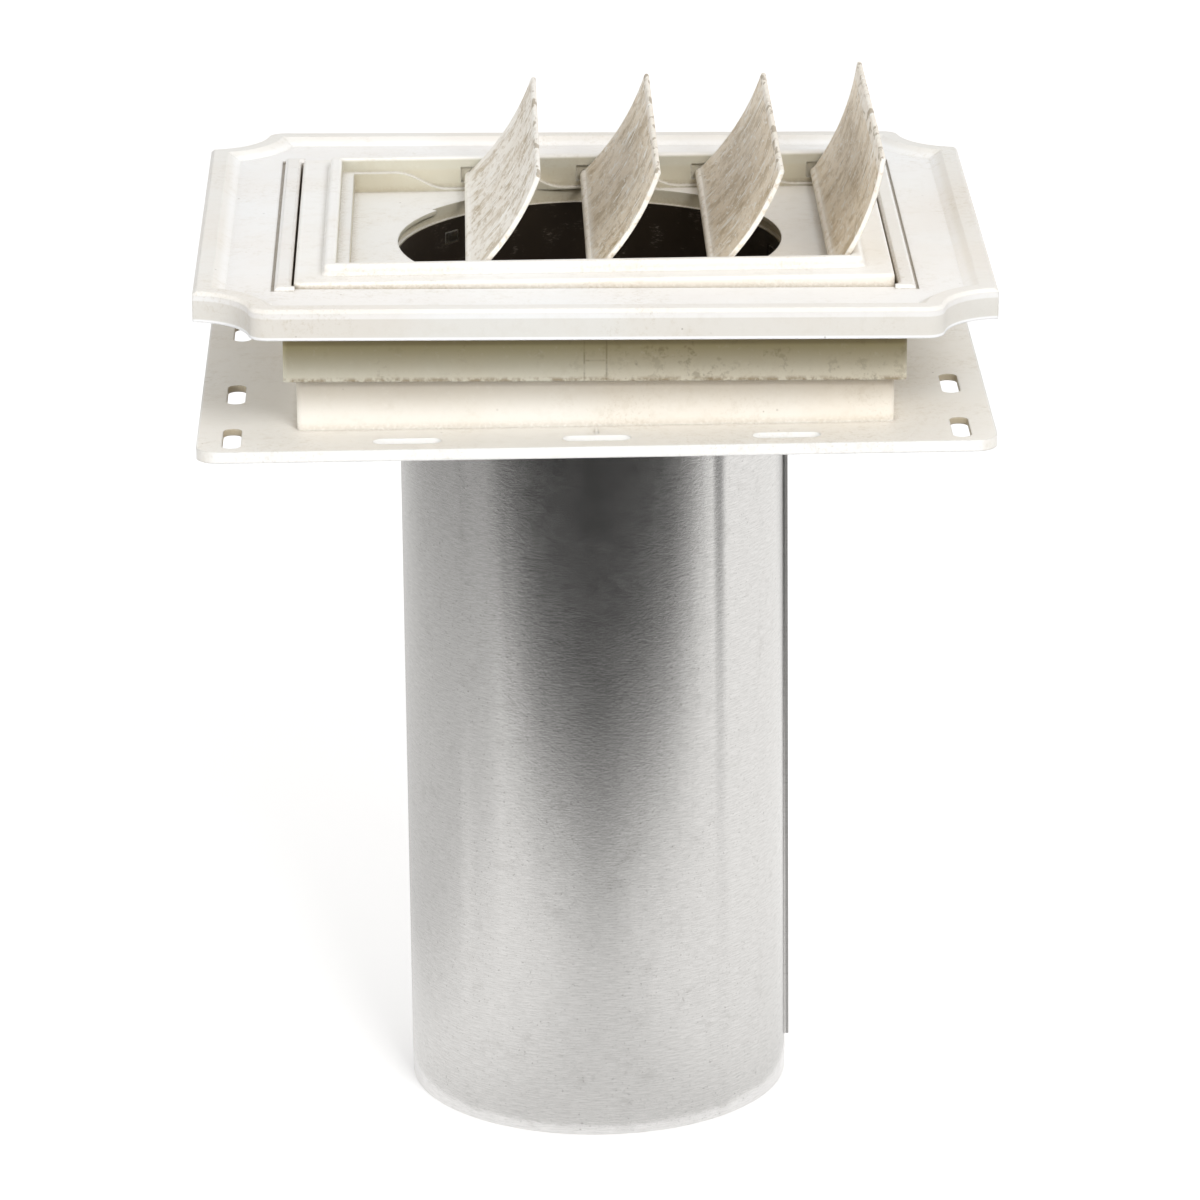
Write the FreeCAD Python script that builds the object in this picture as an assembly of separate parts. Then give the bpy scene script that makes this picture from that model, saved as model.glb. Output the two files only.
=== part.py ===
import FreeCAD, Part
import math
import os

# Louvred exhaust vent for a clad wall, lying on its back with the face up.
# Origin: on the duct axis, in the plane of the flange's back. +Z points out of the face,
# +X is up the wall when the vent is fitted, and Y runs along the louvres.
# All lengths are millimetres and all angles are degrees.

# Duct and tail pipe, rolled from thin aluminium sheet
duct_bore_d = 101.6
sheet_t = 0.45
pipe_length = 232.0
pipe_fit = 0.1
seam_proud = 1.1
seam_arc = 7.5
seam_top_below_collar = 3.0
seam_end_up = 9.0

# Catches that hold the pipe: a window in the pipe and a nub on the collar
catch_count = 3
catch_azimuth = 136.0
catch_wide = 5.6
catch_tall = 3.6
catch_below_seat = 3.2
catch_gap = 0.3

# Base housing: the flange against the wall
flange_x = 205.0
flange_y = 162.0
flange_corner_r = 6.0
flange_rise = 3.0
flange_t = 1.8
flange_lip_t = 1.6

# Nailing slots in the flange
slot_w = 4.8
slot_long = 17.5
side_slot_x = 93.5
side_slot_inner_y = 29.5
side_slot_outer_y = 69.0
edge_slot_y = 73.5
edge_slot_pitch = 48.6
tick_long = 4.0
tick_w = 0.9
tick_h = 0.4
tick_gap = 1.2

# Base housing: the box that carries the louvres
box_x = 153.8
box_y = 125.8
box_wall = 2.0
box_corner_r = 1.6
ledge_z = 42.3
rim_z = 45.0
rim_w = 3.0
rim_cove = 0.8
rim_edge_r = 0.9
opening_x = 132.3
opening_y = 105.4
frame_wall = 2.4
floor_z = 36.0
floor_t = 2.0

# Base housing: collar behind the floor, and its thin lip round the hole
lip_t = 1.1
lip_relief = 0.95
collar_seat_z = 32.3
collar_wall = 2.2
collar_end_z = 2.0
lip_gap_from = 37.0
lip_gap_to = 143.0
rib_t = 1.6
rib_low_z = 6.0

# Louvres: four curved blades, each on two short pins
louvre_count = 4
louvre_pitch = 31.4
pivot_1_x = -31.3
pivot_z = 39.5
blade_reach = 32.0
blade_t = 1.3
blade_turn = 26.0
blade_root = 2.0
blade_end_gap = 0.8
bead_r = 1.65
root_drop = 0.75
tip_rise = 2.05
pin_r = 1.2
pin_fit = 0.05
pin_short = 0.3
closed_lean = 176.4
rest_lean = [58.5, 59.9, 59.3, 70.0]

# Seats that the closed louvres lie on, along the opening's near and far walls
seat_w = 2.2
seat_clear = 0.3
shelf_w = 3.15
seat_low_z = 36.5
seat_flat_reach = 13.4
seat_slope = 14.6
seat_stop = 2.4
notch_left = 2.6
notch_right = 1.9
notch_up = 2.6
notch_deep = 1.1

# Trim ring: the clip-fit frame with a stepped outline, sitting slightly askew as in the photo
ring_x = 205.2
ring_ear_y = 145.2
ring_rail_y = 180.8
ring_rail_half = 83.0
ogee_outer_r = 5.0
ogee_inner_r = 16.3
ring_top_z = 42.0
ring_skirt = 8.0
ring_edge = 0.9
ring_wall = 1.8
band_w = 8.2
panel_drop = 1.9
panel_slope = 3.5
sleeve_gap_x = 0.8
sleeve_gap_y = 1.0
sleeve_wall = 2.3
sleeve_end_z = 16.0
sleeve_corner_r = 1.2
strip_w = 4.3
strip_h = 1.0
strip_edge = 0.7
strip_over = 2.0
groove_w = 0.8
groove_deep = 0.7
ring_tilt = 0.7
ring_tilt_z = 28.0

# Pads on the box that the ring's sleeve clips over
nub_w = 8.0
nub_low_z = 21.0
nub_high_z = 37.0
nub_gap = 0.2
nub_x = 48.0
nub_y = 36.0

# Sizes that follow from the ones above
pipe_ir = duct_bore_d / 2.0
pipe_or = pipe_ir + sheet_t
socket_r = pipe_or + pipe_fit
collar_or = socket_r + collar_wall
relief_r = socket_r + lip_relief
pipe_end_z = collar_seat_z - pipe_length
floor_under_z = floor_z - floor_t
seat_z = pivot_z + tip_rise - seat_clear
blade_half = opening_y / 2.0 - blade_end_gap
pin_hole_r = pin_r + pin_fit
past = 1.0


def vec(x, y, z):
    return FreeCAD.Vector(x, y, z)


def block(x0, x1, y0, y1, z0, z1):
    return Part.makeBox(x1 - x0, y1 - y0, z1 - z0, vec(x0, y0, z0))


def centred(size_x, size_y, z0, z1):
    return block(-size_x / 2.0, size_x / 2.0, -size_y / 2.0, size_y / 2.0, z0, z1)


def rounded(size_x, size_y, z0, z1, radius):
    """A centred box with its four upright corners rounded."""
    solid = centred(size_x, size_y, z0, z1)
    upright = [e for e in solid.Edges if e.BoundBox.ZLength > 0.5 * (z1 - z0)]
    return solid.makeFillet(radius, upright)


def disc(radius, z0, z1):
    return Part.makeCylinder(radius, z1 - z0, vec(0, 0, z0))


def sector(radius, z0, z1, azimuth_from, azimuth_to):
    piece = Part.makeCylinder(radius, z1 - z0, vec(0, 0, z0), vec(0, 0, 1), azimuth_to - azimuth_from)
    return piece.rotate(vec(0, 0, 0), vec(0, 0, 1), azimuth_from)


def edges_at(solid, z, test=None):
    """Edges lying in the plane at height z, or those of them that pass a test."""
    found = []
    for edge in solid.Edges:
        box = edge.BoundBox
        if abs(box.ZMin - z) < 1e-4 and abs(box.ZMax - z) < 1e-4:
            if test is None or test(edge):
                found.append(edge)
    return found


def reach_of(edge):
    """How far the middle of an edge lies from the two centre planes."""
    middle = edge.valueAt(0.5 * (edge.FirstParameter + edge.LastParameter))
    return abs(middle.x), abs(middle.y)


def pivot_x(index):
    return pivot_1_x + louvre_pitch * index


def slot_solid(x, y, along_y):
    """A round-ended slot through the flange."""
    straight = (slot_long - slot_w) / 2.0
    low = -past
    high = flange_rise + past
    half = slot_w / 2.0
    if along_y:
        body = block(x - half, x + half, y - straight, y + straight, low, high)
        ends = [(x, y - straight), (x, y + straight)]
    else:
        body = block(x - straight, x + straight, y - half, y + half, low, high)
        ends = [(x - straight, y), (x + straight, y)]
    for end_x, end_y in ends:
        body = body.fuse(Part.makeCylinder(half, high - low, vec(end_x, end_y, low)))
    return body


def flange_slots():
    slots = []
    for side in (-1, 1):
        for y in (side_slot_inner_y, side_slot_outer_y):
            slots.append(slot_solid(side * side_slot_x, y, True))
            slots.append(slot_solid(side * side_slot_x, -y, True))
        for step in (-1, 0, 1):
            slots.append(slot_solid(step * edge_slot_pitch, side * edge_slot_y, False))
    return slots


def flange_plate():
    """Flange with a lip turned back round its edge, and a short centre tick on each long side."""
    plate = rounded(flange_x, flange_y, 0, flange_rise, flange_corner_r)
    hollow = rounded(flange_x - 2 * flange_lip_t, flange_y - 2 * flange_lip_t,
                     -past, flange_rise - flange_t, flange_corner_r - flange_lip_t)
    inside = centred(box_x - 2 * box_wall, box_y - 2 * box_wall, -past, flange_rise + past)
    plate = plate.cut([hollow, inside] + flange_slots())
    half = tick_w / 2.0
    tick_y = edge_slot_y - slot_w / 2.0 - tick_gap
    ticks = []
    for side in (-1, 1):
        y_ends = sorted((side * tick_y, side * (tick_y - tick_long)))
        ticks.append(block(-half, half, y_ends[0], y_ends[1], flange_rise - past, flange_rise + tick_h))
    return plate.fuse(ticks)


def housing_shell():
    """Outer box, stepped top and rim, hollow from the back."""
    outer = rounded(box_x, box_y, 0, ledge_z, box_corner_r)
    rim = rounded(opening_x + 2 * rim_w, opening_y + 2 * rim_w, ledge_z - past, rim_z, box_corner_r)
    body = outer.fuse(rim).removeSplitter()
    foot = edges_at(body, ledge_z, lambda e: reach_of(e)[0] < box_x / 2.0 - rim_w
                    and reach_of(e)[1] < box_y / 2.0 - rim_w)
    body = body.makeChamfer(rim_cove, foot)
    body = body.makeFillet(rim_edge_r, edges_at(body, ledge_z, lambda e: reach_of(e)[0] > box_x / 2.0 - 1
                                                or reach_of(e)[1] > box_y / 2.0 - 1))
    cavity = rounded(box_x - 2 * box_wall, box_y - 2 * box_wall, -past, ledge_z - box_wall, box_corner_r)
    return body.cut(cavity)


def louvre_well():
    """Walls and floor that the louvres sit in, let into the shell."""
    return centred(opening_x + 2 * frame_wall, opening_y + 2 * frame_wall, floor_under_z, rim_z - rim_w)


def collar_ribs():
    """Four webs that tie the collar to the box walls."""
    half = rib_t / 2.0
    inner = collar_or - past
    ribs = []
    for side in (-1, 1):
        x_ends = sorted((side * inner, side * (box_x / 2.0 - box_wall / 2.0)))
        y_ends = sorted((side * inner, side * (box_y / 2.0 - box_wall / 2.0)))
        ribs.append(block(x_ends[0], x_ends[1], -half, half, rib_low_z, floor_under_z + past))
        ribs.append(block(-half, half, y_ends[0], y_ends[1], rib_low_z, floor_under_z + past))
    return ribs


def sleeve_nubs():
    """Small pads on the box walls that the ring's sleeve clips over."""
    nubs = []
    for side in (-1, 1):
        for across in (-1, 1):
            x_ends = sorted((side * (box_x / 2.0 - past), side * (box_x / 2.0 + sleeve_gap_x - nub_gap)))
            y_ends = sorted((side * (box_y / 2.0 - past), side * (box_y / 2.0 + sleeve_gap_y - nub_gap)))
            nubs.append(block(x_ends[0], x_ends[1], across * nub_y - nub_w / 2.0,
                              across * nub_y + nub_w / 2.0, nub_low_z, nub_high_z))
            nubs.append(block(across * nub_x - nub_w / 2.0, across * nub_x + nub_w / 2.0,
                              y_ends[0], y_ends[1], nub_low_z, nub_high_z))
    return nubs


def seat_profile(index, y):
    """One bay of a seat: flat where the blade's free edge lies, then a smooth run down to the pivot."""
    right = pivot_x(index) + seat_stop
    left = -opening_x / 2.0 - past
    if index > 0:
        left = pivot_x(index - 1) + seat_stop
    if index == louvre_count - 1:
        right = opening_x / 2.0 + past
    slope_end = pivot_x(index) - seat_flat_reach + seat_slope / 2.0
    slope_start = slope_end - seat_slope
    pull = seat_slope * 0.42
    bottom = floor_z - past / 2.0
    curve = Part.BezierCurve()
    curve.setPoles([vec(slope_start, y, seat_z), vec(slope_start + pull, y, seat_z),
                    vec(slope_end - pull, y, seat_low_z), vec(slope_end, y, seat_low_z)])
    corners = [vec(slope_end, y, seat_low_z), vec(right, y, seat_low_z), vec(right, y, bottom),
               vec(left, y, bottom), vec(left, y, seat_z), vec(slope_start, y, seat_z)]
    edges = [curve.toShape()]
    for start, end in zip(corners[:-1], corners[1:]):
        edges.append(Part.LineSegment(start, end).toShape())
    return Part.Face(Part.Wire(edges))


def seats():
    """Scalloped seats on both long walls, and the shelf under the first blade's free edge."""
    wall_y = opening_y / 2.0
    pieces = []
    for index in range(louvre_count):
        for y in (-wall_y - past, wall_y - seat_w):
            pieces.append(seat_profile(index, y).extrude(vec(0, seat_w + past, 0)))
    left = -opening_x / 2.0
    pieces.append(block(left - past, left + shelf_w, -wall_y - past, wall_y + past,
                        floor_z - past / 2.0, seat_z))
    return pieces


def pin_holes():
    """Round pin holes through the long walls, each in a shallow notch that the blade went in through."""
    wall_y = opening_y / 2.0
    cuts = []
    for index in range(louvre_count):
        x = pivot_x(index)
        cuts.append(Part.makeCylinder(pin_hole_r, opening_y + 2 * frame_wall + 2 * past,
                                      vec(x, -wall_y - frame_wall - past, pivot_z), vec(0, 1, 0)))
        for y in (-wall_y - notch_deep, wall_y - past):
            cuts.append(block(x - notch_left, x + notch_right, y, y + notch_deep + past,
                              pivot_z - bead_r, pivot_z + notch_up))
    return cuts


def catch_block(index, wide, tall, r0, r1):
    """A small block across the collar at one catch."""
    middle_z = collar_seat_z - catch_below_seat - catch_tall / 2.0
    piece = block(r0, r1, -wide / 2.0, wide / 2.0, middle_z - tall / 2.0, middle_z + tall / 2.0)
    return piece.rotate(vec(0, 0, 0), vec(0, 0, 1), catch_azimuth + index * 360.0 / catch_count)


def base_housing():
    """Flange, box, louvre well, collar and seats: one moulding."""
    collar = disc(collar_or, collar_end_z, floor_under_z + past)
    shell = housing_shell().fuse([louvre_well(), flange_plate(), collar] + collar_ribs() + sleeve_nubs())
    body = shell.cut(centred(opening_x, opening_y, floor_z, rim_z + past))
    body = body.fuse(seats())
    body = body.cut(pin_holes())
    body = body.cut([disc(pipe_ir, collar_end_z - past, floor_z + past),
                     disc(socket_r, collar_end_z - past, collar_seat_z),
                     disc(relief_r, collar_seat_z, floor_z - lip_t),
                     sector(relief_r, collar_seat_z, floor_z, lip_gap_from, lip_gap_to)])
    body = body.removeSplitter()
    inner_rim = edges_at(body, rim_z, lambda e: reach_of(e)[0] < opening_x / 2.0 + 0.1
                         and reach_of(e)[1] < opening_y / 2.0 + 0.1)
    outer_rim = edges_at(body, rim_z, lambda e: reach_of(e)[0] > opening_x / 2.0 + rim_w - 0.6
                         or reach_of(e)[1] > opening_y / 2.0 + rim_w - 0.6)
    body = body.makeFillet(rim_edge_r, inner_rim + outer_rim)
    nubs = [catch_block(i, catch_wide - 2 * catch_gap, catch_tall - 2 * catch_gap,
                        pipe_ir + sheet_t / 3.0, socket_r + past) for i in range(catch_count)]
    return body.fuse(nubs).removeSplitter()


def ring_outline(inset, z):
    """The ring's plan outline, drawn inside itself by an inset: rails, ogee shoulders and ears."""
    half_x = ring_x / 2.0 - inset
    ear_y = ring_ear_y / 2.0 - inset
    rail_y = ring_rail_y / 2.0 - inset
    radii = ogee_outer_r + ogee_inner_r
    step = (ring_rail_y - ring_ear_y) / 2.0
    lean = math.asin(1.0 - step / radii)
    outer_c = (ring_rail_half, ring_rail_y / 2.0 - ogee_outer_r)
    inner_c = (outer_c[0] + radii * math.cos(lean), outer_c[1] + radii * math.sin(lean))
    outer_r = ogee_outer_r - inset
    inner_r = ogee_inner_r + inset
    end_x = min(inner_c[0], half_x)

    def on_inner(angle):
        return (inner_c[0] - inner_r * math.cos(angle), inner_c[1] - inner_r * math.sin(angle))

    quarter = []
    if outer_r > 0.2:
        top = (outer_c[0], rail_y)
        mid_angle = (math.pi / 2.0 + lean) / 2.0
        mid = (outer_c[0] + outer_r * math.cos(mid_angle), outer_c[1] + outer_r * math.sin(mid_angle))
        start_angle = lean
        start = on_inner(start_angle)
        quarter.append(("arc", top, mid, start))
    else:
        start_angle = math.asin((inner_c[1] - rail_y) / inner_r)
        start = on_inner(start_angle)
        top = start
    end_angle = math.acos((inner_c[0] - end_x) / inner_r)
    end = on_inner(end_angle)
    quarter.append(("arc", start, on_inner((start_angle + end_angle) / 2.0), end))
    corner = (half_x, end[1])
    if half_x - end[0] > 0.01:
        quarter.append(("line", end, corner))
    quarter.append(("line", corner, (half_x, 0.0)))
    quarter.insert(0, ("line", (0.0, rail_y), top))

    edges = []
    for sx, sy in ((1, 1), (-1, 1), (-1, -1), (1, -1)):
        for item in quarter:
            points = [vec(sx * p[0], sy * p[1], z) for p in item[1:]]
            if item[0] == "arc":
                edges.append(Part.Arc(points[0], points[1], points[2]).toShape())
            else:
                edges.append(Part.LineSegment(points[0], points[1]).toShape())
    return Part.Face(Part.Wire(Part.__sortEdges__(edges)))


def ring_slab(inset, z0, z1):
    return ring_outline(inset, z0).extrude(vec(0, 0, z1 - z0))


def trim_ring():
    """Clip-fit ring: raised edge band, flat panel, inner strips, skirt and sleeve in one moulding."""
    panel_z = ring_top_z - panel_drop
    low_z = ring_top_z - ring_skirt
    hole_x = box_x + 2 * sleeve_gap_x
    hole_y = box_y + 2 * sleeve_gap_y
    body = ring_slab(0.0, low_z, ring_top_z).removeSplitter()
    body = body.makeChamfer(ring_edge, edges_at(body, ring_top_z))
    slope = [ring_outline(band_w - panel_slope, ring_top_z).OuterWire, ring_outline(band_w, panel_z).OuterWire]
    body = body.cut(Part.makeLoft(slope, True, True))
    body = body.cut(ring_slab(ring_wall, low_z - past, panel_z - ring_wall))
    body = body.fuse(rounded(hole_x + 2 * sleeve_wall, hole_y + 2 * sleeve_wall, sleeve_end_z, panel_z,
                             sleeve_corner_r))
    strips = []
    for side in (-1, 1):
        x_ends = sorted((side * (hole_x / 2.0 - past), side * (hole_x / 2.0 + strip_w)))
        strip = block(x_ends[0], x_ends[1], -hole_y / 2.0 - strip_over, hole_y / 2.0 + strip_over,
                      panel_z - past, panel_z + strip_h)
        outer_edge = edges_at(strip, panel_z + strip_h, lambda e: reach_of(e)[0] > hole_x / 2.0)
        strips.append(strip.makeChamfer(strip_edge, outer_edge))
    body = body.fuse(strips)
    for side in (-1, 1):
        x_ends = sorted((side * (hole_x / 2.0 + strip_w), side * (hole_x / 2.0 + strip_w + groove_w)))
        body = body.cut(block(x_ends[0], x_ends[1], -hole_y / 2.0 - strip_over, hole_y / 2.0 + strip_over,
                              panel_z - groove_deep, panel_z + strip_h))
    body = body.cut(rounded(hole_x, hole_y, sleeve_end_z - past, ring_top_z + past, box_corner_r))
    body = body.removeSplitter()
    lips = edges_at(body, panel_z + strip_h, lambda e: abs(reach_of(e)[0] - hole_x / 2.0) < 0.1)
    body = body.makeChamfer(strip_edge, lips)
    body.rotate(vec(0, 0, ring_tilt_z), vec(0, 1, 0), ring_tilt)
    return body


def tail_pipe():
    """Rolled sheet pipe with a lap seam down one side and windows for the catches."""
    tube = disc(pipe_or, pipe_end_z, collar_seat_z)
    seam_top_z = collar_end_z - seam_top_below_collar
    seam = sector(pipe_or + seam_proud, pipe_end_z + seam_end_up, seam_top_z, -seam_arc / 2.0, seam_arc / 2.0)
    tube = tube.fuse(seam).cut(disc(pipe_ir, pipe_end_z - past, collar_seat_z + past))
    windows = [catch_block(i, catch_wide, catch_tall, pipe_ir - past, pipe_or + past)
               for i in range(catch_count)]
    return tube.cut(windows).removeSplitter()


def louvre_section():
    """Blade outline in the closed position, with the pivot at the origin and the free edge at -X."""
    rise = tip_rise + root_drop
    run = blade_reach - blade_root
    chord = math.hypot(run, rise)
    radius = chord / 2.0 / math.sin(math.radians(blade_turn / 2.0))
    tilt = math.atan2(rise, run)
    centre_back = radius * math.cos(math.radians(blade_turn / 2.0))
    mid_x = -(blade_root + blade_reach) / 2.0
    mid_z = (tip_rise - root_drop) / 2.0
    centre_x = mid_x - centre_back * math.sin(tilt)
    centre_z = mid_z - centre_back * math.cos(tilt)
    angle_0 = math.atan2(-root_drop - centre_z, -blade_root - centre_x)
    angle_1 = math.atan2(tip_rise - centre_z, -blade_reach - centre_x)

    def on_arc(r, angle):
        return vec(centre_x + r * math.cos(angle), 0, centre_z + r * math.sin(angle))

    middle = (angle_0 + angle_1) / 2.0
    outer = radius + blade_t
    tip_mid = on_arc(radius + blade_t / 2.0, angle_1 + blade_t / 2.0 / radius)
    edges = [
        Part.Arc(on_arc(radius, angle_0), on_arc(radius, middle), on_arc(radius, angle_1)).toShape(),
        Part.Arc(on_arc(radius, angle_1), tip_mid, on_arc(outer, angle_1)).toShape(),
        Part.Arc(on_arc(outer, angle_1), on_arc(outer, middle), on_arc(outer, angle_0)).toShape(),
        Part.LineSegment(on_arc(outer, angle_0), on_arc(radius, angle_0)).toShape(),
    ]
    return Part.Face(Part.Wire(edges))


def louvre(index):
    """A curved blade with a rolled bead at its hinge edge and a pin at each end."""
    blade = louvre_section().extrude(vec(0, 2 * blade_half, 0))
    blade.translate(vec(0, -blade_half, 0))
    root = louvre_root().extrude(vec(0, 2 * blade_half, 0))
    root.translate(vec(0, -blade_half, 0))
    bead = Part.makeCylinder(bead_r, 2 * blade_half, vec(0, -blade_half, 0), vec(0, 1, 0))
    pin_half = opening_y / 2.0 + frame_wall - pin_short
    pins = Part.makeCylinder(pin_r, 2 * pin_half, vec(0, -pin_half, 0), vec(0, 1, 0))
    body = blade.fuse([root, bead, pins]).removeSplitter()
    body.rotate(vec(0, 0, 0), vec(0, 1, 0), closed_lean - rest_lean[index])
    body.translate(vec(pivot_x(index), 0, pivot_z))
    return body


def louvre_root():
    """Short straight web from the bead to the start of the blade, in line with it."""
    section = louvre_section()
    start = [v.Point for v in section.Vertexes if v.Point.x > -blade_root - blade_t]
    low = min(start, key=lambda p: p.z)
    high = max(start, key=lambda p: p.z)
    along = vec(low.z - high.z, 0, high.x - low.x)
    along.normalize()
    shift = along * blade_root
    if shift.x < 0:
        shift = shift * -1.0
    corners = [low, high, high + shift, low + shift, low]
    return Part.Face(Part.makePolygon(corners))


def check_solid(name, shape):
    solids = shape.Solids
    print(name, "solids", len(solids), "valid", shape.isValid(), "volume", round(shape.Volume, 1))
    return solids[0]


os.makedirs("parts", exist_ok=True)
pieces = {"base_housing": base_housing(), "trim_ring": trim_ring(), "tail_pipe": tail_pipe()}
for number in range(louvre_count):
    pieces["louvre_%d" % (number + 1)] = louvre(number)
for piece_name, piece_shape in pieces.items():
    check_solid(piece_name, piece_shape).exportStep("parts/%s.step" % piece_name)
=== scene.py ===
import math

import bpy
from mathutils import Matrix, Vector


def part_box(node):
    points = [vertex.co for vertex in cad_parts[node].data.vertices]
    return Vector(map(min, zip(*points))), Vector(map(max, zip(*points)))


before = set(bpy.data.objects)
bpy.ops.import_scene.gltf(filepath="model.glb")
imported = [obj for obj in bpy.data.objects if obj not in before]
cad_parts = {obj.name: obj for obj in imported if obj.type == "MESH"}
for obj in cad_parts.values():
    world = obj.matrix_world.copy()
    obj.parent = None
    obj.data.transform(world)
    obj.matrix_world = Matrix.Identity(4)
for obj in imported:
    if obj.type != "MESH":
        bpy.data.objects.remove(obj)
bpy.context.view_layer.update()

# Louvred exhaust vent standing on its tail pipe, face up. Blender's units here are metres, and sizes that a maker
# would read off the part are given in millimetres.
MM = 0.001

# Where the photograph was taken from: turn about +Z from straight in front (-Y), height above the level, and roll,
# in degrees, then the distance to the middle of the rim's top and the long lens that goes with it.
CAMERA_TURN = -1.061
CAMERA_RISE = 18.4
CAMERA_ROLL = -0.631
CAMERA_DISTANCE = 1730.13 * MM
CAMERA_SIDE = 2.835 * MM
CAMERA_DROP = -104.515 * MM
RIM_TOP = 45.0 * MM
LENS = 196.18
FILM = 36.0

# The ring sits a little askew: it is turned by this many degrees about a level line through this point
RING_TILT = 0.7
RING_TILT_POINT = (0.0, 0.0, 28.0 * MM)

pipe_low, pipe_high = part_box("tail_pipe")
FLOOR_Z = pipe_low.z

# Places on the part that its dirt and wear follow, in millimetres: heights above the flange's back, half sizes of
# the well that holds the louvres, and radii from the duct's axis
FLANGE_TOP = 3.3
SLEEVE_LOW = 16.2
SKIRT_LOW = 34.0
LEDGE_TOP = 42.2
FREE_EDGE = 66.8
WELL_X = 66.8
WELL_Y = 54.0
PIPE_INSIDE = 50.83
PIPE_OUTSIDE = 51.5
NUB_INSIDE = 51.6

# Where the nailing slots lie, as distances from the middle along X: those of the long edges, and those of the sides
LONG_EDGE_SLOTS = (-1.0, 75.0)
SIDE_SLOTS = (85.0, 100.4)

# Settings that many nodes share
SMOOTH = {"interpolation_type": "SMOOTHSTEP"}
TIMES = {"operation": "MULTIPLY"}
LARGER = {"operation": "MAXIMUM"}
UNSIGNED = {"operation": "ABSOLUTE"}
COLOUR = {"data_type": "RGBA"}
SHADED = {"data_type": "RGBA", "blend_type": "MULTIPLY"}
NUMBER = {"data_type": "FLOAT"}


def linear(code):
    """An sRGB hex colour as linear red, green, blue and full alpha."""
    values = []
    for start in (0, 2, 4):
        share = int(code[start:start + 2], 16) / 255.0
        values.append(share / 12.92 if share <= 0.04045 else ((share + 0.055) / 1.055) ** 2.4)
    return (*values, 1.0)


def per_mm(size):
    """A pattern's scale in metre coordinates, from the real size of one of its spots or waves in millimetres."""
    return 1.0 / (size * MM)


def node(owner, kind, *values, named=None, **settings):
    """Adds one node. The values go in order into the inputs that its settings leave in use, and named ones by name.
    A value is a number, a colour, another node's output, or a node, which stands for its first output in use."""
    tree = owner.node_tree
    made = tree.nodes.new("ShaderNode" + kind)
    for setting, value in settings.items():
        setattr(made, setting, value)
    in_use = [socket for socket in made.inputs if socket.enabled]
    pairs = list(zip(in_use, values)) + [(made.inputs[name], value) for name, value in (named or {}).items()]
    for socket, value in pairs:
        if isinstance(value, bpy.types.Node):
            value = next(output for output in value.outputs if output.enabled)
        if isinstance(value, bpy.types.NodeSocket):
            tree.links.new(value, socket)
        else:
            socket.default_value = value
    return made


def new_material(name):
    """An empty node material."""
    material = bpy.data.materials.new(name)
    material.use_nodes = True
    material.node_tree.nodes.clear()
    return material


def hairline(m, along, middle, half_width):
    """One at a place along an axis, fading out over a half width, both in millimetres."""
    gap = node(m, "Math", along, middle * MM, operation="SUBTRACT")
    gap = node(m, "Math", gap, **UNSIGNED)
    return node(m, "MapRange", gap, half_width * MM, 0.3 * half_width * MM, **SMOOTH)


def from_the_axis(m, place):
    """The distance from the duct's axis, which stands upright through the origin."""
    level = node(m, "VectorMath", place, (1.0, 1.0, 0.0), **TIMES)
    return node(m, "VectorMath", level, operation="LENGTH")


def in_the_well(m, place):
    """One inside the opening that holds the louvres, and nothing outside its walls."""
    parts = node(m, "SeparateXYZ", place).outputs
    beyond_x = node(m, "Math", node(m, "Math", parts[0], **UNSIGNED), WELL_X * MM, operation="SUBTRACT")
    beyond_y = node(m, "Math", node(m, "Math", parts[1], **UNSIGNED), WELL_Y * MM, operation="SUBTRACT")
    return node(m, "MapRange", node(m, "Math", beyond_x, beyond_y, **LARGER), 0.4 * MM, -0.4 * MM, **SMOOTH)


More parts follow.
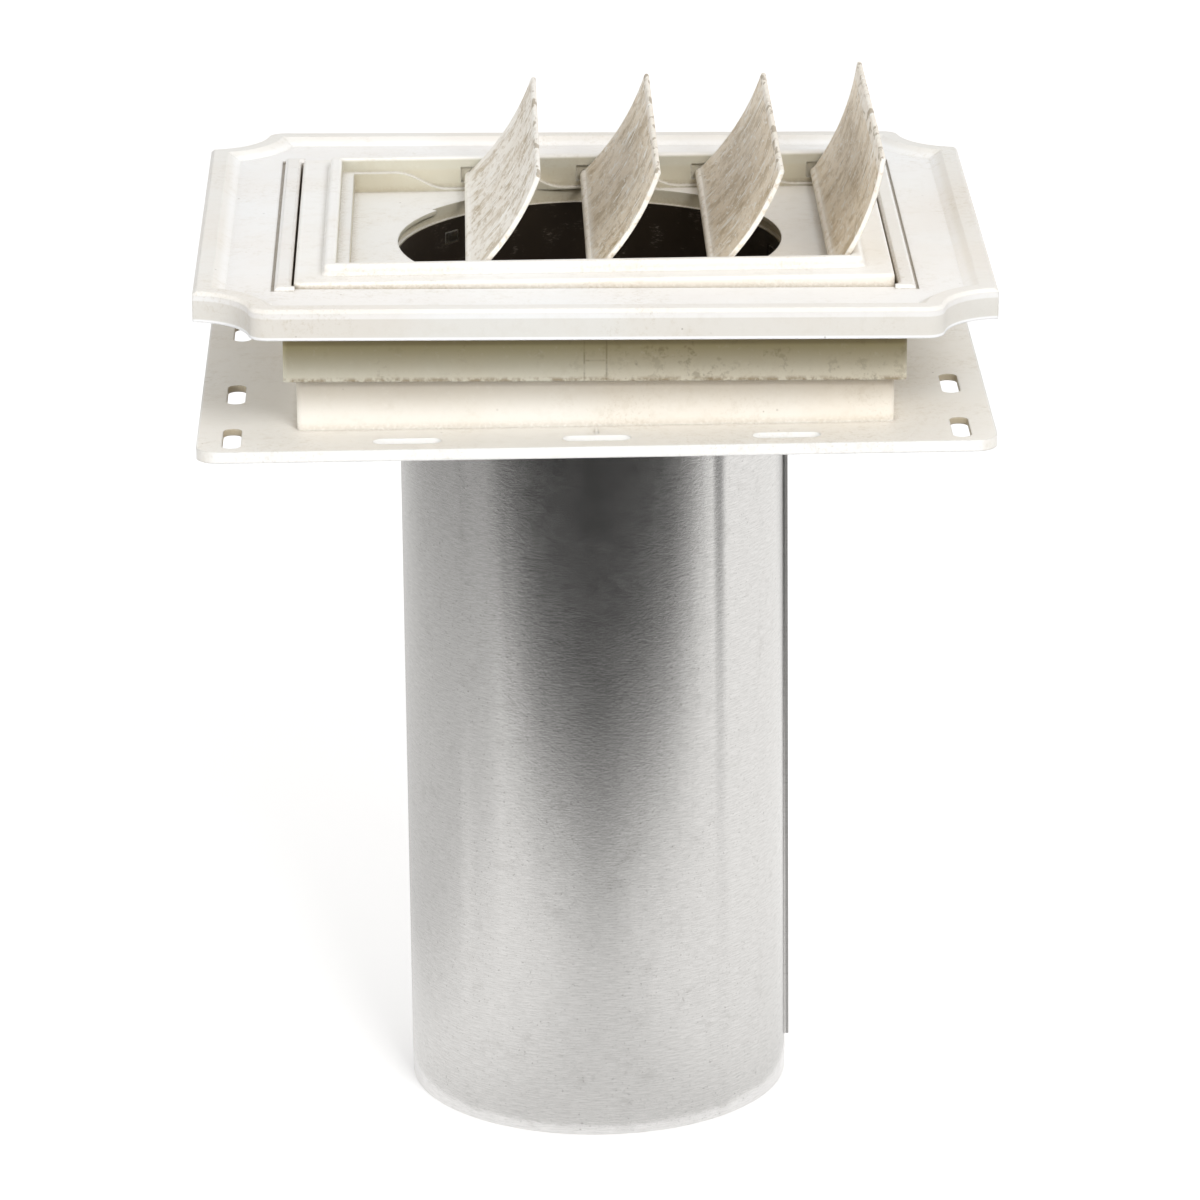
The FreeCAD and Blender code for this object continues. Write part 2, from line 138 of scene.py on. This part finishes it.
def housing_tones(m, place, facing, colour):
    """A shade creamier than the ring below its top edge, apart from the floor of the louvre well, which stayed
    grey-white, and greyer with painted shade below the ring. The well's walls are tan, partly with dirt and partly as
    painted shade, the flange is painted paler as painted light, and what shows of the collar's catch nub inside the
    pipe is painted black as painted shade. The turned lip and the slots of the long edges are painted near-white as
    painted light, and the slots at the sides are painted brown as painted shade."""
    height = node(m, "SeparateXYZ", place).outputs[2]
    upward = node(m, "SeparateXYZ", facing).outputs[2]
    inside = in_the_well(m, place)
    well_floor = node(m, "Math", inside, upward, use_clamp=True, **TIMES)
    below = node(m, "MapRange", height, LEDGE_TOP * MM, (LEDGE_TOP - 1.2) * MM, **SMOOTH)
    cream = node(m, "Math", below, node(m, "MapRange", well_floor, 0.0, 1.0, 1.0, 0.1), **TIMES)
    # The well's walls are darkened tan, partly with dirt and partly as painted shade inside the well
    well_wall_dirt_and_shade = node(m, "Math", inside, node(m, "MapRange", upward, 0.0, 0.7, 0.85, 0.0), **TIMES)
    # Painted shade: the box and the sleeve are greyed below the ring, where its shade falls
    painted_ring_shade = node(m, "Math", node(m, "MapRange", height, 6.0 * MM, 14.5 * MM, **SMOOTH),
                      node(m, "MapRange", height, 30.0 * MM, 29.0 * MM, **SMOOTH), **TIMES)
    for share, tone in ((cream, "fdfaf5"), (well_wall_dirt_and_shade, "d0cebe"), (painted_ring_shade, "dedad3")):
        colour = node(m, "Mix", share, colour, linear(tone), **SHADED)
    # Painted light: the flange is painted paler
    flange_painted_light = node(m, "MapRange", height, (FLANGE_TOP + 0.3) * MM, FLANGE_TOP * MM, 0.0, 0.45)
    # Painted shade: what shows of the catch nub through the pipe's window is painted black
    nub = node(m, "MapRange", from_the_axis(m, place), (NUB_INSIDE + 0.3) * MM, NUB_INSIDE * MM, 0.0, 0.97, **SMOOTH)
    nub = node(m, "Math", nub, node(m, "MapRange", height, 31.0 * MM, 30.5 * MM, **SMOOTH), **TIMES)
    # Painted light: the turned lip and the walls of the long-edge slots are painted near-white
    clean = node(m, "Math", slot_walls(m, place, facing, *LONG_EDGE_SLOTS), turned_lip(m, place), **LARGER)
    # Painted shade: the walls of the side slots are painted brown
    painted_slot_shade = node(m, "Math", slot_walls(m, place, facing, *SIDE_SLOTS), 0.75, **TIMES)
    for share, tone in ((flange_painted_light, "fffdf8"), (nub, "120e0a"), (clean, "fffefb"), (painted_slot_shade, "a8966f")):
        colour = node(m, "Mix", share, colour, linear(tone), **COLOUR)
    return colour


def slot_walls(m, place, facing, from_x, to_x):
    """One on the walls of the nailing slots that lie between two distances from the middle along X."""
    parts = node(m, "SeparateXYZ", place).outputs
    across = node(m, "Math", parts[0], **UNSIGNED)
    aside = node(m, "Math", parts[1], **UNSIGNED)
    level = node(m, "Math", node(m, "SeparateXYZ", facing).outputs[2], **UNSIGNED)
    walls = node(m, "MapRange", level, 0.5, 0.3)
    for along, low, high in ((across, to_x + 0.2, to_x), (across, from_x - 0.2, from_x), (aside, 79.1, 78.9),
                             (parts[2], 3.05, 3.0), (parts[2], 1.1, 1.2)):
        walls = node(m, "Math", walls, node(m, "MapRange", along, low * MM, high * MM), **TIMES)
    return walls


def turned_lip(m, place):
    """One on the flange's outer edge, where its lip turns back."""
    parts = node(m, "SeparateXYZ", place).outputs
    near_far = node(m, "MapRange", node(m, "Math", parts[1], **UNSIGNED), 80.4 * MM, 80.9 * MM)
    sides = node(m, "MapRange", node(m, "Math", parts[0], **UNSIGNED), 101.9 * MM, 102.4 * MM)
    lip = node(m, "Math", near_far, sides, **LARGER)
    return node(m, "Math", lip, node(m, "MapRange", parts[2], 3.2 * MM, 3.05 * MM), **TIMES)


def out_of_the_notches(m, place, facing):
    """Nothing in the nailing slots and in the notches that the pins went in through, and one elsewhere."""
    parts = node(m, "SeparateXYZ", place).outputs
    deep = node(m, "MapRange", node(m, "Math", parts[1], **UNSIGNED), 52.60 * MM, 52.72 * MM)
    high = node(m, "MapRange", parts[2], 37.6 * MM, 37.8 * MM)
    notch = node(m, "Math", node(m, "Math", deep, high, **TIMES), in_the_well(m, place), **TIMES)
    slots = slot_walls(m, place, facing, *LONG_EDGE_SLOTS)
    return node(m, "MapRange", node(m, "Math", notch, slots, **LARGER), 0.0, 1.0, 1.0, 0.1)


def ring_tones(m, place, facing, colour):
    """Dustier on the raised band, darker on the skirt partly with dust and partly as painted shade, and yellowed on
    the sleeve, which turns green towards its top under the skirt, partly with dirt and partly as painted shade.
    """
    height = node(m, "SeparateXYZ", place).outputs[2]
    raised = node(m, "MapRange", height, 40.5 * MM, 41.6 * MM, **SMOOTH)
    # The skirt is darkened, partly as dust and partly as painted shade
    skirt = node(m, "Math", node(m, "MapRange", height, 39.9 * MM, 39.4 * MM, **SMOOTH),
                 node(m, "MapRange", height, (SKIRT_LOW - 0.2) * MM, (SKIRT_LOW + 0.2) * MM, **SMOOTH), **TIMES)
    sleeve = node(m, "MapRange", height, SKIRT_LOW * MM, (SKIRT_LOW - 0.6) * MM, **SMOOTH)
    # The sleeve turns olive towards its top under the skirt, partly with dirt and partly as painted shade
    top = node(m, "Math", sleeve, node(m, "MapRange", height, 16.5 * MM, 27.0 * MM, **SMOOTH), **TIMES)
    for share, tone in ((raised, "f5f3ef"), (skirt, "efede8"), (sleeve, "ebe6d4"), (top, "c2ba97")):
        colour = node(m, "Mix", share, colour, linear(tone), **SHADED)
    return colour


def sleeve_marks(m, place, patches, colour):
    """Broken hairlines that the mould's slide left on the near side of the sleeve, smudges, a painted shadow that
    darkens the sleeve under the skirt, the brown dotted line where damp sat on the sleeve's end, and a painted
    highlight along the lower edge of the skirt."""
    parts = node(m, "SeparateXYZ", place).outputs
    near = node(m, "MapRange", parts[1], -60.0 * MM, -63.0 * MM, **SMOOTH)
    on_sleeve = node(m, "MapRange", parts[2], SKIRT_LOW * MM, (SKIRT_LOW - 0.4) * MM, **SMOOTH)
    dotted = node(m, "MapRange", node(m, "TexNoise", place, per_mm(2.4), 3.0, 0.7), 0.40, 0.62, **SMOOTH)
    marks = node(m, "Math", hairline(m, parts[0], -2.8, 0.34), hairline(m, parts[0], 2.9, 0.34), **LARGER)
    level_mark = node(m, "Math", hairline(m, parts[0], 0.0, 4.0), hairline(m, parts[2], 21.5, 0.34), **TIMES)
    marks = node(m, "Math", node(m, "Math", marks, level_mark, **LARGER), near, **TIMES)
    marks = node(m, "Math", node(m, "Math", marks, on_sleeve, **TIMES),
                 node(m, "MapRange", dotted, 0.0, 1.0, 0.15, 0.5), **TIMES)
    smudged = node(m, "MapRange", node(m, "TexNoise", place, per_mm(3.4), 3.0, 0.72), 0.55, 0.67, **SMOOTH)
    smudged = node(m, "Math", node(m, "Math", smudged, patches, **TIMES), 0.45, **TIMES)
    smudged = node(m, "Math", smudged, on_sleeve, **TIMES)
    colour = node(m, "Mix", node(m, "Math", marks, smudged, **LARGER), colour, linear("7c6d4c"), **COLOUR)
    # Painted shadow: the sleeve is darkened below the skirt
    painted_skirt_shadow = node(m, "Math", node(m, "MapRange", parts[2], 25.2 * MM, 26.4 * MM, 0.0, 0.5, **SMOOTH),
                       on_sleeve, **TIMES)
    colour = node(m, "Mix", painted_skirt_shadow, colour, linear("6b5c3a"), **COLOUR)
    end = node(m, "MapRange", parts[2], (SLEEVE_LOW + 1.4) * MM, SLEEVE_LOW * MM, 0.0, 0.7, **SMOOTH)
    colour = node(m, "Mix", node(m, "Math", end, dotted, **TIMES), colour, linear("8a6f45"), **COLOUR)
    off_sleeve = node(m, "MapRange", on_sleeve, 1.0, 0.0)
    # Painted highlight: a white line along the skirt's lower edge
    pale = node(m, "Math", hairline(m, parts[2], SKIRT_LOW + 0.3, 0.7), off_sleeve, **TIMES)
    return node(m, "Mix", pale, colour, linear("ffffff"), **COLOUR)


def blade_scuffs(m, place, patches, colour):
    """Blades that were handled and worn: pebbly brown dirt with pale flecks, drawn out along the blade, ragged dark
    and pale scratches in places, from the hinge towards the free edge, hinge beads worn nearly white, ends lightened
    nearly white partly by wear and partly as a painted highlight, a painted highlight along the free edge, and brown
    dots along the free edge. The outer face, which rain washes when the vent is shut, is cleaner."""
    parts = node(m, "SeparateXYZ", place).outputs
    own_facing = node(m, "TexCoord").outputs["Normal"]
    outer = node(m, "MapRange", node(m, "SeparateXYZ", own_facing), -0.1, 0.1, 0.0, 0.55)
    washed = colour
    blotch = node(m, "MapRange", node(m, "TexNoise", place, per_mm(9.0), 3.0, 0.62), 0.46, 0.66, **SMOOTH)
    colour = node(m, "Mix", node(m, "Math", blotch, 0.55, **TIMES), colour, linear("ad956c"), **COLOUR)
    lengthwise = node(m, "VectorMath", place, (1.0, 0.4, 1.0), **TIMES)
    pebbles = node(m, "MapRange", node(m, "TexNoise", lengthwise, per_mm(1.8), 3.0, 0.65), 0.50, 0.64, **SMOOTH)
    pebbled = node(m, "Math", pebbles, node(m, "MapRange", patches, 0.0, 1.0, 0.28, 0.62), **TIMES)
    colour = node(m, "Mix", pebbled, colour, linear("a08759"), **COLOUR)
    flecks = node(m, "MapRange", node(m, "TexNoise", lengthwise, per_mm(1.2), 3.0, 0.6, named={"Distortion": 0.8}),
                  0.56, 0.64, **SMOOTH)
    colour = node(m, "Mix", node(m, "Math", flecks, 0.75, **TIMES), colour, linear("f6f3ec"), **COLOUR)

    scratched = node(m, "MapRange", node(m, "TexNoise", place, per_mm(15.0), 3.0, 0.6), 0.48, 0.60, **SMOOTH)
    high = node(m, "MapRange", parts[2], RIM_TOP, (FREE_EDGE - 0.8) * MM, 0.4, 1.0)
    scratched = node(m, "Math", scratched, high, **TIMES)
    along = node(m, "VectorMath", place, (0.20, 1.0, 0.20), **TIMES)
    dark = node(m, "MapRange", node(m, "TexNoise", along, per_mm(2.1), 2.0, 0.6, named={"Distortion": 1.0}),
                0.54, 0.64, **SMOOTH)
    dark = node(m, "Math", node(m, "Math", dark, scratched, **TIMES), 0.7, **TIMES)
    colour = node(m, "Mix", dark, colour, linear("8f7648"), **COLOUR)
    along = node(m, "VectorMath", place, (0.17, 0.9, 0.21), **TIMES)
    pale = node(m, "MapRange", node(m, "TexNoise", along, per_mm(1.9), 2.0, 0.6, named={"Distortion": 1.0}),
                0.55, 0.64, **SMOOTH)
    pale = node(m, "Math", pale, node(m, "MapRange", scratched, 0.0, 0.6, 0.2, 1.0), **TIMES)
    colour = node(m, "Mix", pale, colour, linear("fbf9f3"), **COLOUR)
    colour = node(m, "Mix", outer, colour, washed, **COLOUR)

    # Ends and hinge beads are lightened: the beads by wear, the ends partly by wear and partly as a painted highlight
    beside = node(m, "Math", parts[1], **UNSIGNED)
    ends = node(m, "MapRange", beside, 51.0 * MM, 51.7 * MM, 0.0, 0.8, **SMOOTH)
    bead = node(m, "MapRange", parts[2], 42.6 * MM, 41.0 * MM, 0.0, 0.7, **SMOOTH)
    worn_and_highlit = node(m, "Math", node(m, "Math", ends, bead, **LARGER),
                  node(m, "MapRange", pebbles, 0.0, 1.0, 1.0, 0.5), **TIMES)
    colour = node(m, "Mix", worn_and_highlit, colour, linear("f8f4ec"), **COLOUR)
    # Painted highlight along the free edge, with brown dots of dirt along it
    free_edge = node(m, "MapRange", parts[2], (FREE_EDGE - 1.2) * MM, FREE_EDGE * MM, **SMOOTH)
    colour = node(m, "Mix", node(m, "Math", free_edge, 0.5, **TIMES), colour, linear("fbf8f2"), **COLOUR)
    dots = node(m, "MapRange", node(m, "TexNoise", lengthwise, per_mm(2.6), 2.0, 0.6), 0.54, 0.62, **SMOOTH)
    dots = node(m, "Math", node(m, "Math", free_edge, dots, **TIMES), 0.7, **TIMES)
    return node(m, "Mix", dots, colour, linear("8f7a55"), **COLOUR)


def moulded_plastic(name, clean, yellowed, grime, runs_amount, dust_amount, runs=(1.0, 1.0, 1.0), own_tones=None,
                    own_marks=None, kept_unshaded_and_clean=None, tilt=0.0):
    """Polypropylene, injection moulded and weathered outdoors: a satin skin that has gone chalky, yellowed in broad
    patches, with dirt that ran down it and dried, fine dust, brown lines in the corners, partly dirt lodged there and
    partly painted shade, edges lightened partly as bleaching and partly as a painted highlight, and small dark specks.
    Each piece adds its own tones and marks."""
    m = new_material(name)
    place = node(m, "TexCoord").outputs["Object"]
    if tilt:
        place = node(m, "VectorRotate", place, RING_TILT_POINT, math.radians(-tilt), rotation_type="Y_AXIS")
    facing = node(m, "NewGeometry").outputs["Normal"]
    soft_edge = node(m, "Bevel", 0.6 * MM, samples=2)

    yellow = node(m, "MapRange", node(m, "TexNoise", place, per_mm(55.0), 3.0, 0.55), 0.36, 0.66, **SMOOTH)
    colour = node(m, "Mix", yellow, linear(clean), linear(yellowed), **COLOUR)
    if own_tones:
        colour = own_tones(m, place, facing, colour)

    patches = node(m, "MapRange", node(m, "TexNoise", place, per_mm(30.0), 3.0, 0.55), 0.42, 0.64, **SMOOTH)
    drawn = node(m, "VectorMath", place, runs, **TIMES)
    dried = node(m, "MapRange", node(m, "TexNoise", drawn, per_mm(3.2), 4.0, 0.68), 0.47, 0.72, **SMOOTH)
    stain = node(m, "Math", dried, node(m, "MapRange", patches, 0.0, 1.0, 0.35, 1.0), **TIMES)
    colour = node(m, "Mix", node(m, "Math", stain, runs_amount, **TIMES), colour, linear(grime), **COLOUR)
    chalk = node(m, "MapRange", node(m, "TexNoise", drawn, per_mm(2.2), 3.0, 0.7), 0.56, 0.74, **SMOOTH)
    colour = node(m, "Mix", node(m, "Math", chalk, 0.6 * runs_amount, **TIMES), colour, linear("f4f1ea"), **COLOUR)

    fine = node(m, "TexNoise", place, per_mm(0.9), 3.0, 0.65)
    dust = node(m, "Math", node(m, "MapRange", fine, 0.52, 0.72, **SMOOTH), patches, **TIMES)
    colour = node(m, "Mix", node(m, "Math", dust, dust_amount, **TIMES), colour, linear(grime), **COLOUR)
    if own_marks:
        colour = own_marks(m, place, patches, colour)

    # Painted shade with dirt: ambient occlusion darkens the colour in corners and crevices, where dirt also lodges
    shelter = node(m, "AmbientOcclusion", named={"Distance": 2.2 * MM}, samples=1).outputs["AO"]
    corner_dirt_and_shade = node(m, "Math", node(m, "MapRange", shelter, 0.72, 0.35, **SMOOTH),
                  node(m, "MapRange", fine, 0.3, 0.55, 0.25, 1.0, **SMOOTH), **TIMES)
    if kept_unshaded_and_clean:
        corner_dirt_and_shade = node(m, "Math", corner_dirt_and_shade, kept_unshaded_and_clean(m, place, facing), **TIMES)
    colour = node(m, "Mix", node(m, "Math", corner_dirt_and_shade, 0.65, **TIMES), colour, linear("8b7650"), **COLOUR)

    # Edges are lightened, partly as bleached wear and partly as a painted highlight
    edge = node(m, "VectorMath", soft_edge, facing, operation="DOT_PRODUCT")
    worn_and_highlit = node(m, "MapRange", edge, 0.985, 0.88, 0.0, 0.55, **SMOOTH)
    colour = node(m, "Mix", worn_and_highlit, colour, linear("fbf9f3"), **COLOUR)

    cells = node(m, "TexVoronoi", place, per_mm(3.6), feature="F1").outputs
    chosen = node(m, "SeparateColor", cells["Color"])
    dot = node(m, "Math", node(m, "MapRange", cells["Distance"], 0.11, 0.06, **SMOOTH),
               node(m, "MapRange", chosen, 0.90, 0.92, **SMOOTH), **TIMES)
    dot = node(m, "Math", dot, node(m, "MapRange", patches, 0.0, 1.0, 0.15, 0.75), **TIMES)
    colour = node(m, "Mix", dot, colour, linear("6a5a40"), **COLOUR)

    roughness = node(m, "MapRange", stain, 0.0, 1.0, 0.46, 0.7)
    grain = node(m, "TexNoise", place, per_mm(0.6), 2.0, 0.55)
    warp = node(m, "TexNoise", place, per_mm(24.0), 1.0, 0.55)
    bump = node(m, "Bump", named={"Strength": 0.12, "Distance": 0.1 * MM, "Height": grain, "Normal": soft_edge})
    bump = node(m, "Bump", named={"Strength": 0.25, "Distance": 0.9 * MM, "Height": warp, "Normal": bump})
    shader = node(m, "BsdfPrincipled", named={"Base Color": colour, "Roughness": roughness, "IOR": 1.49,
                                              "Normal": bump})
    node(m, "OutputMaterial", shader)
    return m


def brushed_aluminium():
    """Thin aluminium sheet, mill-brushed along its length before it was rolled, so the fine lines run round the pipe
    and draw each reflection out up and down. Real lines are some 0.1 mm apart, drawn here at 0.3 mm so that they
    show, and as short as the photograph's. Rolling left a groove and a ridge that run along the pipe. Inside, the
    metal lies under the dark dirt that blew through, scratched in places. The proud lap seam is duller."""
    m = new_material("brushed_aluminium_sheet")
    place = node(m, "TexCoord").outputs["Object"]
    parts = node(m, "SeparateXYZ", place).outputs
    forward = node(m, "Math", parts[1], -1.0, **TIMES)
    turn = node(m, "Math", parts[0], forward, operation="ARCTAN2")
    around_pipe = node(m, "Math", turn, pipe_high.y, **TIMES)
    unrolled = node(m, "CombineXYZ", around_pipe, 0.0, parts[2])
    long_way = node(m, "VectorMath", unrolled, (0.07, 1.0, 1.0), **TIMES)
    lines = node(m, "TexNoise", long_way, per_mm(0.3), 2.0, 0.6)
    short_way = node(m, "VectorMath", unrolled, (0.3, 1.0, 1.0), **TIMES)
    short_lines = node(m, "TexNoise", short_way, per_mm(0.5), 3.0, 0.65)
    pits = node(m, "TexNoise", place, per_mm(0.8), 3.0, 0.65)
    blotch = node(m, "TexNoise", place, per_mm(6.0), 4.0, 0.65)
    along_the_pipe = node(m, "VectorMath", place, (1.0, 1.0, 0.04), **TIMES)
    upright = node(m, "TexNoise", along_the_pipe, per_mm(7.0), 2.0, 0.55)
    colour = linear("e6e5e4")
    for pattern, low, high, amount, tone in ((lines, 0.35, 0.65, 0.45, "cac9c7"),
                                             (short_lines, 0.54, 0.70, 0.26, "a9a7a3"),
                                             (pits, 0.62, 0.72, 0.5, "8b8884"),
                                             (blotch, 0.55, 0.74, 0.16, "a5a29d")):
        share = node(m, "MapRange", pattern, low, high, 0.0, amount, **SMOOTH)
        colour = node(m, "Mix", share, colour, linear(tone), **COLOUR)
    radius = from_the_axis(m, place)
    inner = node(m, "MapRange", radius, (PIPE_INSIDE + 0.07) * MM, PIPE_INSIDE * MM, **SMOOTH)
    worn = node(m, "Math", node(m, "MapRange", short_lines, 0.50, 0.66, **SMOOTH),
                node(m, "MapRange", blotch, 0.50, 0.68, **SMOOTH), **TIMES)
    dirt = node(m, "Mix", node(m, "Math", worn, 0.6, **TIMES), linear("2c241c"), linear("8f867a"), **COLOUR)
    colour = node(m, "Mix", inner, colour, dirt, **COLOUR)
    bare = node(m, "MapRange", inner, 0.0, 1.0, 1.0, 0.15)
    seam = node(m, "MapRange", radius, PIPE_OUTSIDE * MM, (PIPE_OUTSIDE + 0.2) * MM)
    polish = node(m, "MapRange", blotch, 0.3, 0.75, 0.205, 0.235, **SMOOTH)
    roughness = node(m, "Mix", node(m, "Math", inner, seam, **LARGER), polish, 0.55, **NUMBER)
    bent = []
    for start, top, end, height in ((-47.5, -40.5, -29.5, -0.38), (36.8, 42.6, 56.0, 0.6)):
        rise = node(m, "MapRange", turn, math.radians(start), math.radians(top), 0.0, height, **SMOOTH)
        fall = node(m, "MapRange", turn, math.radians(end), math.radians(top), **SMOOTH)
        bent.append(node(m, "Math", rise, fall, **TIMES))
    bump = node(m, "Bump", named={"Distance": MM, "Height": node(m, "Math", *bent, operation="ADD")})
    for pattern, height in ((upright, 0.10), (pits, 0.030), (short_lines, 0.013), (lines, 0.004)):
        bump = node(m, "Bump", named={"Distance": height * MM, "Height": pattern, "Normal": bump})
    around = node(m, "Tangent", direction_type="RADIAL", axis="Z")
    shader = node(m, "BsdfPrincipled", named={"Base Color": colour, "Metallic": bare, "Roughness": roughness,
                                              "Anisotropic": 0.7, "Anisotropic Rotation": 0.25, "Tangent": around,
                                              "Normal": bump})
    node(m, "OutputMaterial", shader)
    return m


def plain_floor():
    """Matt white studio paper, lit a little from below as on a light table."""
    m = new_material("white_paper")
    shader = node(m, "BsdfPrincipled", named={"Base Color": linear("f6f5f4"), "Roughness": 0.9,
                                              "Emission Color": linear("ffffff"), "Emission Strength": 0.26})
    node(m, "OutputMaterial", shader)
    return m


def finish_with(names, material):
    """Gives the CAD nodes named one material in place of their own."""
    for name in names:
        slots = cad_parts[name].data.materials
        slots.clear()
        slots.append(material)


finish_with(["base_housing"], moulded_plastic(
    "polypropylene_housing", clean="f3f2ef", yellowed="f0ece5", grime="b5a68a", runs_amount=0.16,
    dust_amount=0.26, own_tones=housing_tones, kept_unshaded_and_clean=out_of_the_notches))
finish_with(["trim_ring"], moulded_plastic(
    "polypropylene_ring", clean="f3f3f2", yellowed="f1eeea", grime="b7a98c", runs_amount=0.16,
    dust_amount=0.30, own_tones=ring_tones, own_marks=sleeve_marks, tilt=RING_TILT))
for names, clean, yellowed in ((["louvre_1"], "f4efe6", "ece4d7"),
                               (["louvre_2", "louvre_3", "louvre_4"], "efe3cf", "e4d4bb")):
    finish_with(names, moulded_plastic(
        "polypropylene_" + names[0], clean=clean, yellowed=yellowed, grime="8e7a5c", runs_amount=0.15,
        dust_amount=0.30, runs=(0.6, 1.0, 0.6), own_marks=blade_scuffs))
finish_with(["tail_pipe"], brushed_aluminium())

# Studio: one wide sheet of white paper, a tent of soft light that is brighter to the right, and two softboxes
bpy.ops.mesh.primitive_plane_add(size=30.0, location=(0.0, 0.0, FLOOR_Z))
floor = bpy.context.object
floor.name = "floor"
floor.data.materials.append(plain_floor())
floor.visible_diffuse = False


def floor_card():
    """A grey-toned card on the floor that only reflections see, as a photographer shapes what bare metal mirrors. The
    bright paper ends some 0.3 m in front of the pipe. It dims slowly to the left, behind the pipe, straight ahead of
    it and at its foot."""
    steps = 48
    near, far = 0.055, 6.0
    height = FLOOR_Z + 1.0 * MM
    corners = []
    for distance in (near, far):
        for i in range(steps):
            angle = 2.0 * math.pi * i / steps
            corners.append((distance * math.cos(angle), distance * math.sin(angle), height))
    faces = [(i, steps + i, steps + (i + 1) % steps, (i + 1) % steps) for i in range(steps)]
    mesh = bpy.data.meshes.new("reflected_floor")
    mesh.from_pydata(corners, [], faces)
    m = new_material("reflected_floor")
    place = node(m, "TexCoord").outputs["Object"]
    parts = node(m, "SeparateXYZ", place).outputs
    foot = node(m, "MapRange", from_the_axis(m, place), 0.06, 0.20, 0.93, 1.0, **SMOOTH)
    ahead = node(m, "MapRange", node(m, "Math", parts[0], **UNSIGNED), 0.02, 0.09, 0.85, 1.0, **SMOOTH)
    edge = node(m, "MapRange", parts[1], -0.40, -0.18, 0.02, 1.0, **SMOOTH)
    left = node(m, "MapRange", parts[0], -0.90, -0.22, 0.38, 1.0, **SMOOTH)
    behind = node(m, "MapRange", node(m, "Math", parts[0], parts[1], operation="SUBTRACT"),
                  -0.25, -0.05, 0.68, 1.0, **SMOOTH)
    strength = foot
    for share in (ahead, edge, left, behind):
        strength = node(m, "Math", strength, share, **TIMES)
    node(m, "OutputMaterial", node(m, "Emission", linear("fffefc"), strength))
    mesh.materials.append(m)
    made = bpy.data.objects.new("reflected_floor", mesh)
    bpy.context.scene.collection.objects.link(made)
    for ray in ("camera", "diffuse", "transmission", "volume_scatter", "shadow"):
        setattr(made, "visible_" + ray, False)


floor_card()


def softbox(name, turn, rise, distance, width, height, power):
    """A rectangle of soft light that faces the origin, placed by its turn from +X, its rise and its distance."""
    data = bpy.data.lights.new(name, "AREA")
    data.shape = "RECTANGLE"
    data.size = width
    data.size_y = height
    data.energy = power
    light = bpy.data.objects.new(name, data)
    bpy.context.scene.collection.objects.link(light)
    level = math.cos(math.radians(rise))
    way = Vector((math.cos(math.radians(turn)) * level, math.sin(math.radians(turn)) * level,
                  math.sin(math.radians(rise))))
    light.location = way * distance
    light.rotation_euler = (-way).to_track_quat("-Z", "Y").to_euler()
    light.visible_camera = False
    light.visible_glossy = False


softbox("key_front", -68.0, 34.0, 1.8, 0.7, 0.45, 17.5)
softbox("fill_left", -128.0, 13.0, 2.2, 1.2, 0.5, 11.0)


def walls(world, way, left, ahead, right, behind):
    """The brightness of the studio's four walls by the way one looks, each faded into the next."""
    forward = node(world, "Math", way[1], -1.0, **TIMES)
    turn = node(world, "Math", way[0], forward, operation="ARCTAN2")
    fades = []
    for start, end, low, high in ((-84.0, -50.0, left, ahead), (52.0, 98.0, ahead, right),
                                  (-180.0, -140.0, behind, left), (145.0, 180.0, right, behind)):
        fades.append(node(world, "MapRange", turn, math.radians(start), math.radians(end), low, high, **SMOOTH))
    front = node(world, "Math", fades[0], fades[1], **LARGER)
    back = node(world, "Math", fades[2], fades[3], **LARGER)
    return node(world, "Math", front, back, operation="MINIMUM")


def light_tent():
    """Soft light from all round, brighter to the right. Reflections see a darker studio behind the camera."""
    world = bpy.data.worlds.new("light_tent")
    world.use_nodes = True
    world.node_tree.nodes.clear()
    way = node(world, "SeparateXYZ", node(world, "TexCoord").outputs["Generated"]).outputs
    across = node(world, "MapRange", way[0], -1.0, 1.0, 1.08, 1.15)
    ahead = node(world, "MapRange", way[1], -0.3, -0.8, 1.0, 0.35, **SMOOTH)
    level = node(world, "Math", node(world, "Math", across, ahead, **TIMES), 1.15, **TIMES)
    above = node(world, "MapRange", way[2], 0.15, 0.6, **SMOOTH)
    tent = node(world, "Mix", above, level, 0.735, **NUMBER)
    below = node(world, "MapRange", way[2], -0.02, -0.2, **SMOOTH)
    tent = node(world, "Mix", below, tent, 0.30, **NUMBER)
    overhead = node(world, "MapRange", way[2], 0.75, 0.95, **SMOOTH)
    seen = node(world, "Math", walls(world, way, 0.42, 0.02, 1.1, 0.4), overhead, **LARGER)
    mirrored = node(world, "LightPath").outputs["Is Glossy Ray"]
    strength = node(world, "Mix", mirrored, tent, seen, **NUMBER)
    node(world, "OutputWorld", node(world, "Background", linear("ffffff"), strength))
    return world


bpy.context.scene.world = light_tent()


def photo_camera():
    """The camera where the photograph was taken, from its turn, rise, roll, distance and offset."""
    turn, rise, roll = (math.radians(a) for a in (CAMERA_TURN, CAMERA_RISE, CAMERA_ROLL))
    back = Vector((math.sin(turn) * math.cos(rise), -math.cos(turn) * math.cos(rise), math.sin(rise)))
    level = Vector((math.cos(turn), math.sin(turn), 0.0))
    upright = back.cross(level)
    right = math.cos(roll) * level + math.sin(roll) * upright
    up = -math.sin(roll) * level + math.cos(roll) * upright
    place = back * CAMERA_DISTANCE + right * CAMERA_SIDE + up * CAMERA_DROP + Vector((0.0, 0.0, RIM_TOP))
    data = bpy.data.cameras.new("camera")
    data.lens = LENS
    data.sensor_width = FILM
    data.clip_end = 50.0
    camera = bpy.data.objects.new("camera", data)
    camera.matrix_world = Matrix.Translation(place) @ Matrix((right, up, back)).transposed().to_4x4()
    bpy.context.scene.collection.objects.link(camera)
    return camera


bpy.context.scene.camera = photo_camera()
bpy.context.scene.view_settings.view_transform = "Standard"
